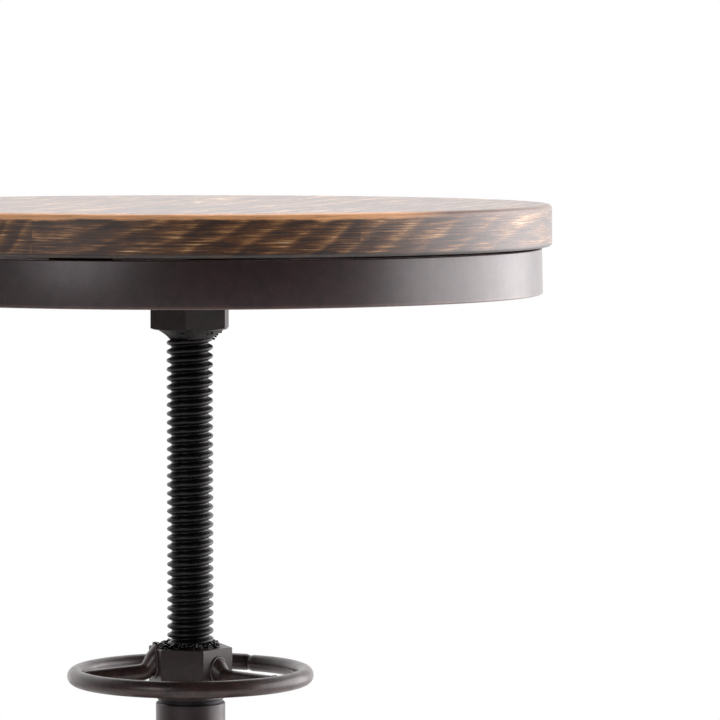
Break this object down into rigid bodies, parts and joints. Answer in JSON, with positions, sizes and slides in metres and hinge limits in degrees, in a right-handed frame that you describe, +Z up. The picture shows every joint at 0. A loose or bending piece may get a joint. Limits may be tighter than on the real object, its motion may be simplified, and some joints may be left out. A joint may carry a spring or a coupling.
{
  "type": "adjustable swivel stool",
  "caption": "Round wooden seat in a steel hoop on a coarse lead screw, locked by a threaded handwheel, over a column on splayed tube legs with a footrest ring.",
  "frame": {"origin": "on the floor under the column's axis", "axes": "+Z up along the screw; the legs stand at 45 degrees to X and Y"},
  "size_m": [0.4284, 0.4284, 0.7596],
  "materials": {
    "stained_pine": "dark stained, brushed, satin lacquer",
    "brown_frame_coat": "antique brown powder coat",
    "brown_hoop_coat": "antique brown powder coat",
    "brown_nut_coat": "antique brown powder coat on machined steel",
    "brown_rod_coat": "antique brown powder coat on round bar",
    "coated_weld": "rough weld bead under the coat",
    "oiled_black_steel": "blackened and oiled",
    "zinc_steel": "zinc plated",
    "spring_steel": "phosphated",
    "bronze": "machined",
    "nylon": "turned nylon",
    "black_plastic": "moulded",
    "foot_rubber": "moulded rubber"
  },
  "bodies": {
    "base": {"column_tube": "brown_frame_coat", "column_bush": "bronze", "column_end_cap": "black_plastic", "leg_collar": "brown_frame_coat", "leg_welds": "coated_weld", "leg_1": "brown_frame_coat", "leg_2": "brown_frame_coat", "leg_3": "brown_frame_coat", "leg_4": "brown_frame_coat", "foot_cap_1": "foot_rubber", "foot_cap_2": "foot_rubber", "foot_cap_3": "foot_rubber", "foot_cap_4": "foot_rubber", "strut_1": "brown_frame_coat", "strut_2": "brown_frame_coat", "strut_3": "brown_frame_coat", "strut_4": "brown_frame_coat", "strut_welds": "coated_weld", "footrest_ring": "brown_frame_coat", "footrest_welds": "coated_weld"},
    "screw_guide": {"guide_bush": "nylon"},
    "seat": {"seat_stave_left": "stained_pine", "seat_stave_middle": "stained_pine", "seat_stave_right": "stained_pine", "seat_hoop": "brown_hoop_coat", "seat_bar_long": "brown_frame_coat", "seat_bar_short_back": "brown_frame_coat", "seat_bar_short_front": "brown_frame_coat", "hoop_welds": "coated_weld", "seat_plate": "brown_frame_coat", "board_screws": "zinc_steel", "seat_nut": "brown_nut_coat", "nut_plate_weld": "coated_weld", "nut_screw_weld": "coated_weld", "lead_screw": "oiled_black_steel", "stop_washer": "zinc_steel", "stop_bolt": "zinc_steel"},
    "wheel_thrust": {"thrust_washer": "spring_steel"},
    "handwheel": {"wheel_hub": "brown_nut_coat", "hub_circlip": "spring_steel", "wheel_ring": "brown_rod_coat", "wheel_spoke_1": "brown_rod_coat", "wheel_spoke_2": "brown_rod_coat", "wheel_spoke_3": "brown_rod_coat", "spoke_hub_welds": "coated_weld", "spoke_ring_welds": "coated_weld"}
  },
  "joints": [
    {"name": "seat_lift", "type": "slide", "parent": "base", "child": "screw_guide", "axis": [0, 0, 1], "range_m": [-0.138, 0.0336]},
    {"name": "seat_turn", "type": "hinge", "parent": "screw_guide", "child": "seat", "pos_m": [0, 0, 0.5], "axis": [0, 0, 1], "range_deg": [-11520, 2790]},
    {"name": "wheel_lift", "type": "slide", "parent": "base", "child": "wheel_thrust", "axis": [0, 0, 1], "range_m": [0, 0.0088]},
    {"name": "wheel_turn", "type": "hinge", "parent": "wheel_thrust", "child": "handwheel", "pos_m": [0, 0, 0.53], "axis": [0, 0, 1], "range_deg": [0, 720]}
  ],
  "couplings": [
    {"joint": "seat_lift", "follows": "seat_turn", "m_per_rad": 0.00068437},
    {"joint": "wheel_lift", "follows": "wheel_turn", "m_per_rad": 0.00068437}
  ]
}
